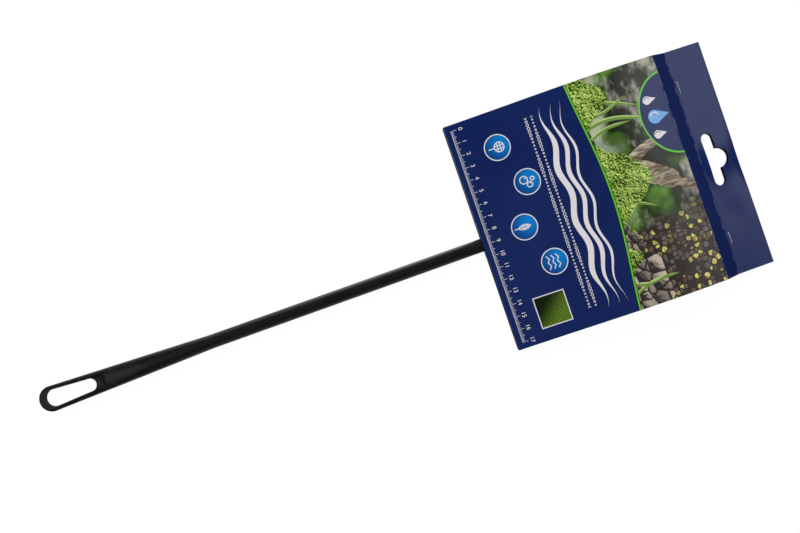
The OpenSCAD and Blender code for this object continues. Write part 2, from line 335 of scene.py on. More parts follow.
def size(value):  # without its sign
    return sums("ABSOLUTE", value)


def longSide(first, second):  # of a right triangle
    return sums("SQRT", plus(times(first, first), times(second, second)))


def bothOf(*shares):
    least = shares[0]
    for share in shares[1:]:
        least = sums("MINIMUM", least, share)
    return least


def anyOf(*shares):
    most = shares[0]
    for share in shares[1:]:
        most = sums("MAXIMUM", most, share)
    return most


def mix(share, first, second):
    return addNode("ShaderNodeMix", {0: share, 6: first, 7: second},
                   data_type="RGBA", blend_type="MIX", clamp_factor=True).outputs[2]


def rise(value, low, high):  # 0 below low, 1 above high, smooth between
    return addNode("ShaderNodeMapRange", (value, low, high), interpolation_type="SMOOTHSTEP").outputs[0]


def ramp(value, *stops):  # (place, colour) pairs
    node = addNode("ShaderNodeValToRGB", (value,))
    band = node.color_ramp
    while len(band.elements) < len(stops):
        band.elements.new(1)
    for element, (place, colour) in zip(band.elements, stops):
        element.position, element.color = place, (*colour, 1)
    return node.outputs[0]


def moved(where, shift=(0, 0, 0), stretch=(1, 1, 1)):
    return addNode("ShaderNodeMapping", {0: where, 1: shift, 3: stretch}).outputs[0]


def noise(where, scale, detail=3.0, rough=0.5, stretch=None):
    if stretch:
        where = moved(where, stretch=stretch)
    return addNode("ShaderNodeTexNoise", {"Vector": where, "Scale": scale, "Detail": detail,
                                          "Roughness": rough}).outputs["Fac"]


def parts(where):  # its x, y and z
    return addNode("ShaderNodeSeparateXYZ", (where,)).outputs


def vectorSum(operation, first, second, output="Vector"):
    return addNode("ShaderNodeVectorMath", (first, second), operation=operation).outputs[output]


def addBump(shader, height, distance, strength):
    bump = addNode("ShaderNodeBump", {"Height": height, "Distance": distance, "Strength": strength})
    feed(shader, "Normal", bump.outputs[0])


def grainMaterial(look):  # two tones mixed by one noise, which may also dull and roughen them
    material, shader, where = newMaterial(look["name"], **look["shader"])
    grain = noise(where, *look["grain"])
    colour = mix(rise(grain, *look["between"]) if "between" in look else grain, *look["tones"])
    if "blot" in look:  # a slower noise, how much of it, and its tone
        blot, amount, tone = look["blot"]
        colour = mix(times(noise(where, *blot), amount), colour, tone)
    feed(shader, "Base Color", colour)
    if "dull" in look:
        feed(shader, "Roughness", scaled(noise(where, *look["spots"]) if "spots" in look else grain, *look["dull"]))
    if "bump" in look:
        addBump(shader, grain, *look["bump"])
    return material


# Handle: a rod that flares to an eye, moulded hollow in black plastic

handleSizes = {
    **inMm(flareFromTip=140, crestFromTip=90, crestHalf=7.2, rodNeck=5.15, rodRoot=5.4, disc=0.2,
           eyeRadius=9.95, eyeThickness=6.6, rimRound=1.8, tipWall=4.6, holeLength=41.4, holeWide=6.7,
           holeNarrow=4.9, throatLength=6.4, throatThickness=3.0, throatRound=1.5, scoopWidth=11.2,
           scoopLength=32, scoopDepth=1.3, scoopFade=36, scoopAside=0.5, scoopRound=2.2, ridgeRadius=0.45,
           ridgeProud=0.08, ridgeSunk=0.7, boreRadius=3.2, boreFromTip=98, edgeRound=0.35),
    "throatTilt": 4, "scoopTaper": 1.6, "scoopEnd": 0.02, "sharp": 34,
    "ridge": [(56, 6.3), (60, 5.95), (65, 5.35), (71, 4.4), (77, 3.4), (83, 2.3), (88, 1.7), (96, 1.45),
              (106, 1.35), (118, 1.25), (134, 1.15), (152, 1.05)],  # from the tip, and beside the axis
}
blackPlastic = {
    "tones": ((0.0062, 0.0063, 0.0067), (0.0088, 0.0090, 0.0096)), "between": (0.3, 0.75),
    "grain": (1800, 2, 0.6), "bump": (0.012 * mm, 0.6), "cloud": (90, 3, 0.6), "dull": (0.10, 0.28),
    "streak": (700, 3, 0.65, (0.04, 1, 1)), "streakDull": (0.62, 0.72, 0.08),  # drawn along the mould
}


def plasticMaterial():
    look = blackPlastic
    material, shader, where = newMaterial("blackPlastic", specular=0.5)
    grain, cloud, streak = [noise(where, *look[key]) for key in ("grain", "cloud", "streak")]
    feed(shader, "Base Color", mix(rise(cloud, *look["between"]), *look["tones"]))
    low, high, gain = look["streakDull"]
    feed(shader, "Roughness", scaled(rise(streak, low, high), gain, scaled(cloud, *look["dull"])))
    addBump(shader, grain, *look["bump"])
    return material


def makeHandle():
    s = handleSizes
    half, eyeRadius, root, taper = s["eyeThickness"] / 2, s["eyeRadius"], s["rodRoot"], s["scoopTaper"]
    eye = addCylinder(eyeRadius, s["eyeThickness"], (tipX + eyeRadius, axisY, axisZ), sides=128)
    onEdges(eye, lambda a, b: abs(abs(a.z - axisZ) - half) < 1e-5 and abs(a.z - b.z) < 1e-5,
            mesh.bevel, offset=s["rimRound"], segments=6)
    rootX = tipX + s["flareFromTip"]
    ring, crest = [addCylinder(root, s["disc"], (x, axisY, axisZ), alongX, sides=128)
                   for x in (rootX - s["disc"] / 2, tipX + s["crestFromTip"])]
    onAll(crest, bpy.ops.transform.resize, value=(1, s["crestHalf"] / root, 1), center_override=(0, axisY, 0))
    body = wrapped(eye, crest, ring)
    startEdit(body, "FACE")
    leaveEdit()
    for face in body.data.polygons:  # the end towards the neck
        face.select = face.normal.x > 0.999 and face.center.x > rootX - s["disc"] / 4
    bpy.ops.object.mode_set(mode="EDIT")
    mesh.dissolve_faces()
    mesh.extrude_region_move(TRANSFORM_OT_translate={"value": (neckX - rootX, 0, 0)})
    shrink = s["rodNeck"] / root
    bpy.ops.transform.resize(value=(1, shrink, shrink), center_override=(neckX, axisY, axisZ))
    leaveEdit()
    faceOutward(body)

    ridgeLine = []  # where the fine ridge runs on the uncut shape; its ends sink into it
    for along, beside in s["ridge"]:
        x, y = tipX + along * mm, axisY + beside * mm
        sunk = s["ridgeSunk"] if (along, beside) in (s["ridge"][0], s["ridge"][-1]) else 0
        ridgeLine.append((x, y, body.ray_cast((x, y, 1), (0, 0, -1))[1].z - axisZ + s["ridgeProud"] - sunk))

    # hanging hole, a slot with a wide and a narrow end
    throatX = tipX + s["tipWall"] + s["holeLength"]
    combine(body, wrapped(*[addCylinder(radius, 30 * mm, (x, axisY, axisZ)) for radius, x in (
        (s["holeWide"], tipX + s["tipWall"] + s["holeWide"]), (s["holeNarrow"], throatX - s["holeNarrow"]))]))

    # sunk web beside the hole, then the flat that is scooped up to the rod
    slope = (root - half) / (s["crestFromTip"] - eyeRadius)
    scoopX = throatX + s["throatLength"]
    faceZ = half + slope * (scoopX - tipX - eyeRadius)
    angle = atan(slope + s["scoopDepth"] / s["scoopLength"])
    tall, long = 10 * mm, s["throatLength"] + s["holeNarrow"]
    for side in (1, -1):
        web = addBox((long, s["scoopWidth"], tall),
                     (scoopX - long / 2, axisY, axisZ + side * (s["throatThickness"] / 2 + tall / 2)),
                     (0, side * radians(s["throatTilt"]), 0))
        onEdges(web, lambda a, b: abs(a.z - b.z) > tall / 2, mesh.bevel, offset=s["throatRound"], segments=5)
        combine(body, web)
        scoop = addBox((s["scoopFade"], s["scoopWidth"], tall), (s["scoopFade"] / 2, 0, tall / 2))
        onEdges(scoop, lambda a, b: abs(a.z - b.z) > tall / 2 and a.x < 1 * mm,
                mesh.bevel, offset=s["scoopRound"], segments=6)
        onEdges(scoop, lambda a, b: abs(a.x - b.x) > s["scoopFade"] / 2, mesh.subdivide, number_cuts=24)
        for point in scoop.data.vertices:  # the outline draws in like a flat cut on a rod
            share = max(0, point.co.x / s["scoopFade"])
            point.co.y *= max(s["scoopEnd"], 1 - share ** taper)
        scoop.rotation_euler = (0, -side * angle, 0)
        scoop.scale = (1, 1, side)
        scoop.location = (scoopX, axisY + s["scoopAside"], axisZ + side * (faceZ - s["scoopDepth"]))
        settle(scoop)
        faceOutward(scoop)
        combine(body, scoop)

    # the moulded ridge starts along the scoop's edge and fades out on the rod, on both faces
    ridges = [sweep([Vector((x, y, axisZ + side * z)) for x, y, z in ridgeLine], radius=s["ridgeRadius"])
              for side in (1, -1)]
    boreX, boreEnd = tipX + s["boreFromTip"], neckX + 1 * mm
    combine(body, addCylinder(s["boreRadius"], boreEnd - boreX, ((boreX + boreEnd) / 2, axisY, axisZ), alongX, 64))
    useModifier(body, "BEVEL", width=s["edgeRound"], segments=3, limit_method="ANGLE",
                angle_limit=radians(s["sharp"]))
    body = layAskew(joinPieces([body, *ridges]))
    dress(body, "handleShell", "net", "handle", s["sharp"], plasticMaterial())


makeHandle()


# Card: where its folds lie, worked out from the net that it holds

cardSizes = {
    **inMm(thickness=0.45, front=167.85, rise=3.6, crown=7.6, fall=11.7, stapleLevel=6.7, header=30,
           plyGap=1.6, plyFit=0.05, backRise=20, wallGap=0.05, foldRound=0.9,
           wave=0.22, still=20,  # how far the board strays from flat, and where it doesn't
           dipsFrom=1, dipsWhole=4, curl=0.3, curlFrom=2.6),  # the header's dips, and its edge that turns down
    "crownSkew": 1.6, "foldSteps": 5, "crownSteps": 48, "headerSteps": 12, "acrossSteps": 96,
    "curlSide": (-60 * mm, 40 * mm),
    "dips": [  # the header bulges round its slot and gives past it: x, y, reaches, depth
        [length * mm for length in dip] for dip in (
            (12.5, -1, 9, 13, -1.9), (38, -7, 11, 15, 2.0), (12, -44, 8, 12, 0.3))],
}
slotSizes = inMm(
    width=41.8, height=9, bump=15.4, full=16.8, inset=6.1,
    backShift=1,  # the back ply's slot lies nearer the staples
    passHeight=11.1, passWidth=22.1, stapleEdge=28.7, stapleWidth=9.4, stapleInset=2.9, stapleWire=0.5,
    legFit=0.05)
backLow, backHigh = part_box("card_back")
cardWidth = backHigh.y - backLow.y
board = cardSizes["thickness"]
wallTop = joints["card_fold"]["pos_m"][2] + board / 2
creaseX = wallX + cardSizes["front"]
stapleX = creaseX + cardSizes["fall"]
headerX = stapleX + cardSizes["header"]
slotX = stapleX + slotSizes["inset"]
headerTilt = atan((cardSizes["stapleLevel"] - 2 * board - cardSizes["plyGap"]) / cardSizes["header"])
stapleReach = (slotSizes["stapleWidth"] - slotSizes["stapleWire"]) / 2
stapleYs = [side * (cardWidth / 2 - slotSizes["stapleEdge"]) for side in (1, -1)]


def raised(path, thickness):  # the same bent line, moved square to itself
    ways = [(after - before).normalized() for before, after in zip(path, path[1:])]
    squares = [Vector((-way.y, way.x)) for way in ways]
    raisedPath = []
    for point, before, after in zip(path, squares[:1] + squares, squares + squares[-1:]):
        middle = (before + after).normalized()
        raisedPath.append(point + middle * thickness / middle.dot(before))
    return raisedPath


def panelLevel(x):  # height of the front panel's underside
    share = max(0, (x - wallX) / (creaseX - wallX))
    arch = cardSizes["crown"] * sin(pi * share ** cardSizes["crownSkew"])
    return wallTop - board + cardSizes["rise"] * share + arch


def frontPath():  # underside of the front panel, its fall and the header
    start, steps, headerSteps = wallX + board / 2, cardSizes["crownSteps"], cardSizes["headerSteps"]
    run = [start + (creaseX - start) * step / steps for step in range(steps + 1)]
    hinge = Vector((stapleX, cardSizes["stapleLevel"] - board / cos(headerTilt)))
    edge = Vector((headerX, board + cardSizes["plyGap"]))
    return [Vector((x, panelLevel(x))) for x in run] + [
        hinge.lerp(edge, step / headerSteps) for step in range(headerSteps + 1)]


def backPath():  # outside of the bottom wall, the back panel and the back ply
    ply = cardSizes["stapleLevel"] - 2 * board / cos(headerTilt) - cardSizes["plyFit"]
    return [Vector(place) for place in ((wallX, wallTop - board - cardSizes["wallGap"]), (wallX, 0),
                                        (stapleX - cardSizes["backRise"], 0), (stapleX, ply), (headerX, 0))]


def bentSheet(path, creases, up):  # one sheet extruded along a bent line, folds rounded, its outside up or down
    def isAt(place, reach):
        return lambda *ends: all((Vector((end.x, end.z)) - place).length < reach for end in ends)
    sheet = added(mesh.primitive_plane_add, size=1)
    sheet.scale = (2 * mm, cardWidth, 1)
    settle(sheet)
    for point in sheet.data.vertices:  # lay the first strip on the line
        end = path[point.co.x > 0]
        point.co = (end.x, point.co.y, end.y)
    for lead, point in zip(path[1:], path[2:]):
        onEdges(sheet, isAt(lead, 1e-6), mesh.extrude_edges_move,
                TRANSFORM_OT_translate={"value": (point.x - lead.x, 0, point.y - lead.y)})
    for crease in creases:
        onEdges(sheet, isAt(crease, 1e-5), mesh.bevel,
                offset=cardSizes["foldRound"], segments=cardSizes["foldSteps"])
    onEdges(sheet, lambda a, b: abs(a.y - b.y) > cardWidth / 2, mesh.subdivide, number_cuts=cardSizes["acrossSteps"])
    faceOutward(sheet)
    if up * max(sheet.data.polygons, key=lambda face: up * face.center.z).normal.z < 0:
        onAll(sheet, mesh.flip_normals)
    return sheet


def stray(x, y):  # slow, shallow waves of a board that has been handled, none by the wall
    one = sin(x * 31 + 1.3) * sin(y * 37 + 0.4)
    two = sin(x * 67 + y * 23 + 2.1) * 0.5
    three = sin(y * 71 - x * 19 + 0.7) * 0.35
    return cardSizes["wave"] * (one + two + three) / 1.85 * unit((x - wallX) / cardSizes["still"])


def waveFront(sheet):
    c = cardSizes
    for point in sheet.data.vertices:
        x, y = point.co.x, point.co.y
        point.co.z += stray(x, y) * unit((headerX - x) / c["still"])
        if x > stapleX + c["dipsFrom"]:
            for dipX, dipY, reachX, reachY, depth in c["dips"]:
                spread = ((x - stapleX - dipX) / reachX) ** 2 + ((y - dipY) / reachY) ** 2
                point.co.z -= depth * exp(-spread) * min(1, (x - stapleX) / c["dipsWhole"])
        if x > headerX - c["curlFrom"]:
            share = (x - headerX) / c["curlFrom"] + 1
            point.co.z -= c["curl"] * share ** 2 * unit((y - c["curlSide"][0]) / c["curlSide"][1])


def cutHeader(sheet, shift):  # hang slot and staple holes
    s = slotSizes
    fromX, tall = slotX - shift, 40 * mm
    cutter = slotCutter(s["width"], s["height"], tall, (fromX + s["height"] / 2, 0, 0))
    combine(cutter, addCylinder(s["bump"] / 2, tall, (fromX + s["full"] - s["bump"] / 2, 0, 0)), "UNION")
    combine(sheet, cutter)
    wide = s["stapleWire"] + 2 * s["legFit"]
    for y in stapleYs:
        for leg in (1, -1):
            place = (stapleX + s["stapleInset"] * cos(headerTilt), y + leg * stapleReach,
                     cardSizes["stapleLevel"])
            combine(sheet, addBox((wide, wide, 20 * mm), place, (0, headerTilt, 0)))


def thicken(sheet, looks):  # print outside, bare board inside, and the cut edge in painted shade
    for look in looks:  # the modifier only counts slots that are there
        sheet.data.materials.append(look)
    useModifier(sheet, "SOLIDIFY", thickness=board, offset=-1, use_even_offset=True,
                material_offset=1, material_offset_rim=2)


# Print: navy ground, a tank scene and plain picture signs, all worked out from place on the card, in millimetres
# from the bottom wall and from the card's middle. Signs stand upright towards the header.

printColours = {name: colourFrom(*values) for name, values in {
    "navy": (12, 32, 88), "navyLight": (24, 44, 98), "ink": (226, 221, 224), "line": (96, 196, 50),
    "moss": (104, 142, 40), "mossLight": (192, 214, 112), "mossDark": (22, 38, 12), "mossPale": (216, 230, 158),
    "haze": (196, 196, 176), "deep": (40, 38, 32), "water": (172, 186, 172), "leaf": (92, 138, 46),
    "leafLight": (184, 206, 120), "stone": (116, 108, 103), "stoneDark": (46, 42, 41), "sand": (205, 192, 172),
    "wood": (214, 200, 178), "woodDark": (96, 78, 58), "speck": (226, 214, 112), "soil": (52, 45, 41),
    "disc": (0, 122, 200), "discDeep": (6, 58, 128), "drop": (112, 170, 226), "worn": (168, 176, 196),
    # the last two are painted shade, for the card's cut edge and for the board behind the slot
    "board": (176, 172, 163), "rim": (30, 34, 54), "paintedSlotShade": (20, 20, 26),
}.items()}
printPlaces = {
    "soft": 0.07,  # how soft a printed edge is
    "sceneFrom": 91.02,  # where the signs' material gives way to the scene's
    "border": 99, "borderWave": 4.5, "borderLength": 236, "line": 0.6,
    "discs": [(34, 62), (47, 30), (34, -2), (47, -34)], "discRadius": 10.2, "discRing": 0.75,
    "ringStroke": 0.38, "signStroke": 0.36, "vein": 0.2,
    "swatch": (34, -68), "swatchHalf": 11.5, "swatchPitch": 2.3, "swatchFrame": 0.8, "swatchShade": (90, 115),
    "fineStroke": 0.22,
    "rulerFrom": 4.5, "rulerZero": 85, "rulerLine": 0.16, "tickWidth": 0.14, "ticks": [(1, 2.0), (5, 3.2), (10, 4.6)],
    "rows": [(60.6, 0.0), (65.4, 2.4)], "rowPitch": 2.7, "rowEnd": 76,
    "waves": [(73.5, 2.3, 0.0), (81.0, 1.7, 0.7), (87.2, 1.0, 1.4)],
    "waveLength": 41, "waveHeight": 2.1, "waveEnd": 80,
    "badge": (170, 45, 27, 32),  # middle, reach along the handle and across
    "drops": [(154, 45, 5.2, "drop"), (152, 31.5, 3.2, "ink"), (152, 58.5, 3.2, "ink")],
}
signs = [  # rings and dots (across, up, radius), lines (from, to), all in millimetres
    {"rings": [(0, 1.4, 3.7)], "lines": [
        (0, -2.3, 0, -6.6), (-3.1, 0.2, 3.1, 0.2), (-3.3, 2.4, 3.3, 2.4), (-1.2, -1.8, -1.2, 4.6),
        (1.2, -1.8, 1.2, 4.6)]},
    {"rings": [(-1.9, -2.3, 2.9), (2.6, 1.3, 2.0), (-1.3, 4.3, 1.4)],
     "dots": [(-2.9, -1.2, 0.55), (1.9, 2.0, 0.4)]},
    {"leaf": (4.6, 6.9), "lines": [(0, -7.4, 0, -4.2)], "veins": [
        (0, -5.2, 0, 3.6), (0, -3.0, -2.0, -1.0), (0, -3.0, 2.0, -1.0), (0, -0.4, -1.8, 1.4), (0, -0.4, 1.8, 1.4)]},
    {"lines": [(side * across, up + low, side * (across + 2.6), up + 1.6 - low)
               for up in (2.2, -1.4, -5.0) for side in (1, -1) for across, low in ((0, 0), (2.6, 1.6))]},
]
leaves = [  # foot, length, lean, sway, half width in millimetres
    (68, 52, -9, 3.0, 1.5), (60, 44, 6, -2.5, 1.2), (52, 58, -4, 3.5, 1.7), (43, 39, 8, 2.0, 1.3),
    (-4, 46, 7, -3.0, 1.5), (-12, 36, -6, 2.6, 1.2), (-78, 40, 9, 2.5, 1.4), (-70, 30, -3, -2.0, 1.1),
]


def within(distance, reach):  # 1 where the distance is less than the reach
    return rise(distance, reach + printPlaces["soft"], reach - printPlaces["soft"])


def away(flat, u, v):  # distance from a place on the print
    return vectorSum("DISTANCE", flat, (u, v, 0), "Value")


def awayFromLine(flat, start, end):
    line = Vector((end[0] - start[0], end[1] - start[1], 0))
    toPlace = vectorSum("SUBTRACT", flat, (start[0], start[1], 0))
    share = sums("MULTIPLY", vectorSum("DOT_PRODUCT", toPlace, tuple(line), "Value"), 1 / line.length_squared,
                 clamp=True)
    foot = addNode("ShaderNodeVectorMath", {0: tuple(line), 3: share}, operation="SCALE")
    return vectorSum("DISTANCE", toPlace, foot.outputs["Vector"], "Value")


def cells(where, scale, loose, kind="F1"):
    return addNode("ShaderNodeTexVoronoi", {"Vector": where, "Scale": scale, "Randomness": loose},
                   feature=kind).outputs


def lit(where, scale, shift):  # shading of a rough thing lit from one side
    return less(noise(where, scale, 4, 0.6), noise(moved(where, (shift * mm, shift * mm, 0)), scale, 4, 0.6))


def boardMaterial(name, tone):  # bare grey board
    return grainMaterial({
        "name": name, "shader": {"roughness": 0.85, "specular": 0.3}, "grain": (900, 4, 0.7), "between": (0.35, 0.7),
        "tones": (darker(tone, 0.86), tone), "blot": ((60, 3, 0.5), 0.25, darker(tone, 0.8)),
        "bump": (0.02 * mm, 0.5)})


def punchedMaterial():  # the same board, darkened with painted shade on the strip that shows through the slot, where the gap between the plies lies in shade
    s = slotSizes
    material = boardMaterial("boardWithSlotShade", printColours["board"])
    tree = material.node_tree
    base = tree.nodes["Principled BSDF"].inputs["Base Color"]
    where = addNode("ShaderNodeTexCoord", tree=tree).outputs["Object"]
    flat = moved(where, (-slotX / mm, 0, 0), (1 / mm, 1 / mm, 0))
    half, bump, full = s["height"] / 2 / mm, s["bump"] / 2 / mm, s["full"] / mm
    end = s["width"] / 2 / mm - half
    edge = sums("MINIMUM", less(awayFromLine(flat, (half, -end), (half, end)), half),
                less(away(flat, full - bump, 0), bump))
    # painted shade: darkest within about a millimetre of the slot's edge, and only on the slot's half away from the
    # staples
    share = bothOf(rise(edge, 1.3, 0.6), rise(parts(flat)[0], 4, 6))
    feed(base.node, "Base Color", mix(share, base.links[0].from_socket, printColours["paintedSlotShade"]))
    return material


def signsOn(flat, colour):  # blue discs with white rings and a sign in each
    p, c = printPlaces, printColours
    for (u0, v0), sign in zip(p["discs"], signs):
        def strokesOf(lines, half):
            return [within(awayFromLine(flat, (u0 + fromUp, v0 - fromAcross), (u0 + toUp, v0 - toAcross)), half)
                    for fromAcross, fromUp, toAcross, toUp in lines]
        reach = away(flat, u0, v0)
        face = mix(rise(away(flat, u0 + 5, v0 + 3), 1, 17), c["disc"], c["discDeep"])
        colour = mix(within(reach, p["discRadius"]), colour, c["ink"])
        colour = mix(within(reach, p["discRadius"] - p["discRing"]), colour, face)
        strokes = strokesOf(sign.get("lines", ()), p["signStroke"])
        for kind in ("rings", "dots"):
            for across, up, radius in sign.get(kind, ()):
                off = less(away(flat, u0 + up, v0 - across), radius)
                strokes.append(within(size(off), p["ringStroke"]) if kind == "rings" else within(off, 0))
        if "leaf" in sign:  # two arcs that meet in points, with veins left out of the ink
            beside, radius = sign["leaf"]
            blade = bothOf(*[within(away(flat, u0, v0 + way * beside), radius) for way in (1, -1)])
            for vein in strokesOf(sign["veins"], p["vein"]):
                blade = less(blade, vein, clamp=True)
            strokes.append(blade)
        colour = mix(anyOf(*strokes), colour, c["ink"])
    return colour


def swatchOn(u, v, colour):  # a framed sample of the net's mesh
    p, c = printPlaces, printColours
    u0, v0 = p["swatch"]
    reach = sums("MAXIMUM", size(less(u, u0)), size(less(v, v0)))
    aslant, pitch = less(u, v), p["swatchPitch"]
    thread = sums("MINIMUM", sums("PINGPONG", plus(u, v), pitch / 2), sums("PINGPONG", aslant, pitch / 2))
    ground = mix(rise(aslant, *p["swatchShade"]), c["mossDark"], c["moss"])
    cloth = mix(within(thread, p["fineStroke"]), ground, (0.004, 0.004, 0.004))
    colour = mix(within(reach, p["swatchHalf"] + p["swatchFrame"]), colour, c["ink"])
    return mix(within(reach, p["swatchHalf"]), colour, cloth)


def rulerOn(u, v, colour):  # a full-size ruler along the bottom wall; its numbers are pieces of their own
    p = printPlaces
    along, above = less(p["rulerZero"], v), less(u, p["rulerFrom"])
    full = 2 * p["rulerZero"]
    inside = bothOf(rise(along, -0.2, -0.1), rise(along, full + 0.2, full + 0.1))
    strokes = [within(size(above), p["rulerLine"])]
    for step, tall in p["ticks"]:
        beside = sums("PINGPONG", along, step / 2)
        strokes.append(bothOf(rise(beside, p["tickWidth"] * 1.3, p["tickWidth"] * 0.6),
                              rise(above, -0.1, 0), rise(above, tall + 0.05, tall - 0.05)))
    return mix(bothOf(anyOf(*strokes), inside), colour, printColours["ink"])


def wavesOn(u, v, colour):  # two rows of bubbles, then broad white waves
    p, strokes = printPlaces, []
    for u0, shift in p["rows"]:
        beside = sums("PINGPONG", plus(v, shift), p["rowPitch"] / 2)
        radius = scaled(sums("SINE", scaled(v, 0.21, shift)), 0.3, 0.72)
        bubble = size(less(longSide(beside, less(u, u0)), radius))
        strokes.append(bothOf(within(bubble, p["fineStroke"]), within(size(v), p["rowEnd"])))
    for u0, half, shift in p["waves"]:
        bend = sums("SINE", scaled(v, 2 * pi / p["waveLength"], shift))
        off = less(u, scaled(bend, p["waveHeight"], u0))
        level = less(size(off), times(rise(size(v), 82, 40), half))
        strokes.append(bothOf(within(level, 0), within(size(v), p["waveEnd"])))
    return mix(anyOf(*strokes), colour, printColours["ink"])


def sceneOn(where, flat, u, v, above):  # plants, stones, wood and gravel over the wavy border
    c = printColours
    clump, patch = noise(where, 60, 4, 0.6), noise(where, 19, 3, 0.5)
    rough, fine = lit(where, 230, 0.7), lit(where, 620, 0.35)
    colour = ramp(patch, (0.36, c["deep"]), (0.46, c["mossDark"]), (0.54, c["leaf"]), (0.62, c["water"]))
    colour = mix(times(rise(clump, 0.40, 0.66), 0.55), colour, c["deep"])
    haze = noise(where, 34, 4, 0.65, (1, 0.6, 1))
    colour = mix(times(rise(haze, 0.50, 0.66), 0.75), colour, c["haze"])

    # driftwood, a thick branch and two thin ones, with grain along them
    for start, end, thick in (((96, 30), (150, -2), 7.5), ((118, 18), (166, 34), 4.0), ((128, 10), (168, -14), 3.0)):
        off = scaled(clump, 7, awayFromLine(flat, start, end))
        side = rise(scaled(rough, 60, less(v, u)), -150, -80)
        bark = mix(rise(noise(where, 160, 4, 0.7, (0.5, 3.2, 1)), 0.42, 0.62), c["woodDark"], c["wood"])
        bark = mix(scaled(side, -0.5, 0.5, clamp=True), bark, c["woodDark"])
        colour = mix(times(rise(off, (thick + 7), thick), 0.6), colour, c["deep"])
        colour = mix(within(less(off, 3.5), thick), colour, bark)

    # dark gravel with pale specks on the low side
    speck = cells(where, 235, 0.9)
    tint = addNode("ShaderNodeSeparateColor", (speck["Color"],)).outputs[0]
    grit = ramp(tint, (0.08, c["stoneDark"]), (0.34, c["stone"]), (0.70, c["woodDark"]), (0.80, c["speck"]))
    shade = scaled(rough, 1.5, scaled(fine, 1.2, 0.45))
    for share in (rise(shade, 0.60, 0.0), rise(speck["Distance"], 0.46, 0.60),
                  rise(cells(where, 235, 0.9, "DISTANCE_TO_EDGE")["Distance"], 0.16, 0.03)):
        grit = mix(share, grit, c["soil"])
    colour = mix(rise(scaled(patch, 60, v), 6, -10), colour, grit)

    # stones along the border, each with a light and a dark side
    for scale, low, high, seed in ((95, 3, 26, 0.0), (150, -2, 13, 3.7)):
        spot = moved(where, (seed * mm, seed * mm, seed))
        cell, edge = cells(spot, scale, 0.85), cells(spot, scale, 0.85, "DISTANCE_TO_EDGE")["Distance"]
        facing = vectorSum("DOT_PRODUCT", vectorSum("SUBTRACT", spot, cell["Position"]),
                           (0.75 * scale, 0.6 * scale, 0), "Value")
        light = scaled(rough, 1.4, scaled(facing, 0.85, 0.5))
        tint = addNode("ShaderNodeSeparateColor", (cell["Color"],)).outputs[0]
        pebble = ramp(tint, (0.15, c["stone"]), (0.5, c["sand"]), (0.9, c["stone"]))
        pebble = mix(rise(light, 0.85, 0.15), pebble, c["stoneDark"])
        pebble = mix(rise(edge, 0.10, 0.02), pebble, c["soil"])
        bed = scaled(rise(scaled(clump, 60, v), 10, -40), high, low)
        colour = mix(rise(less(bed, above), 0, 0.8), colour, pebble)

    # ribbon leaves that rise from the border
    for foot, tall, lean, sway, half in leaves:
        share = sums("DIVIDE", above, tall)
        bend = sums("SINE", times(share, 4.6))
        off = less(v, scaled(share, lean, scaled(bend, sway, foot)))
        wide = times(rise(share, 1.02, 0.55), half)
        tone = mix(rise(off, -half, half), c["leaf"], c["leafLight"])
        tone = mix(rise(size(off), 0.3, 0.05), tone, c["mossDark"])
        colour = mix(rise(less(size(off), wide), 0.1, -0.12), colour, tone)

    # mounds of moss
    leafy = cells(where, 780, 1)["Distance"]
    light = scaled(fine, 2.0, scaled(rough, 1.5, 0.5))
    light = scaled(less(clump, 0.5), -0.9, scaled(leafy, -0.7, plus(light, 0.30)))
    moss = ramp(light, (0.12, c["mossDark"]), (0.40, c["moss"]), (0.70, c["mossLight"]), (0.98, c["mossPale"]))
    for v0, reach, tall in ((6, 40, 36), (74, 30, 27), (-50, 16, 10)):
        dome = rise(size(less(v, v0)), reach, 0)
        top = scaled(dome, tall, scaled(clump, 16, -9))
        colour = mix(rise(less(top, above), -0.3, 1.2), colour, moss)
    return colour


def badgeOn(flat, u, v, ground, colour):  # a bare navy bay with three drops, edged in green
    p, c = printPlaces, printColours
    u0, v0, reachU, reachV = p["badge"]
    off = longSide(sums("DIVIDE", less(u, u0), reachU), sums("DIVIDE", less(v, v0), reachV))
    out = times(less(off, 1), min(reachU, reachV))
    colour = mix(within(out, p["line"]), colour, c["line"])
    colour = mix(within(out, -p["line"]), colour, ground)
    for up, across, big, tone in p["drops"]:
        reach = away(flat, up, across)
        taper = times(less(up + big * 2.3, u), 0.46)
        point = bothOf(rise(less(size(less(v, across)), taper), 0.08, -0.08),
                       rise(u, up + big * 0.40, up + big * 0.42))
        colour = mix(anyOf(within(reach, big), point), colour, c[tone])
        arc = bothOf(within(size(less(reach, big * 0.66)), big * 0.08),
                     rise(v, across + big * 0.1, across + big * 0.2))
        colour = mix(arc, colour, c["navyLight"] if tone == "ink" else c["ink"])
    return colour


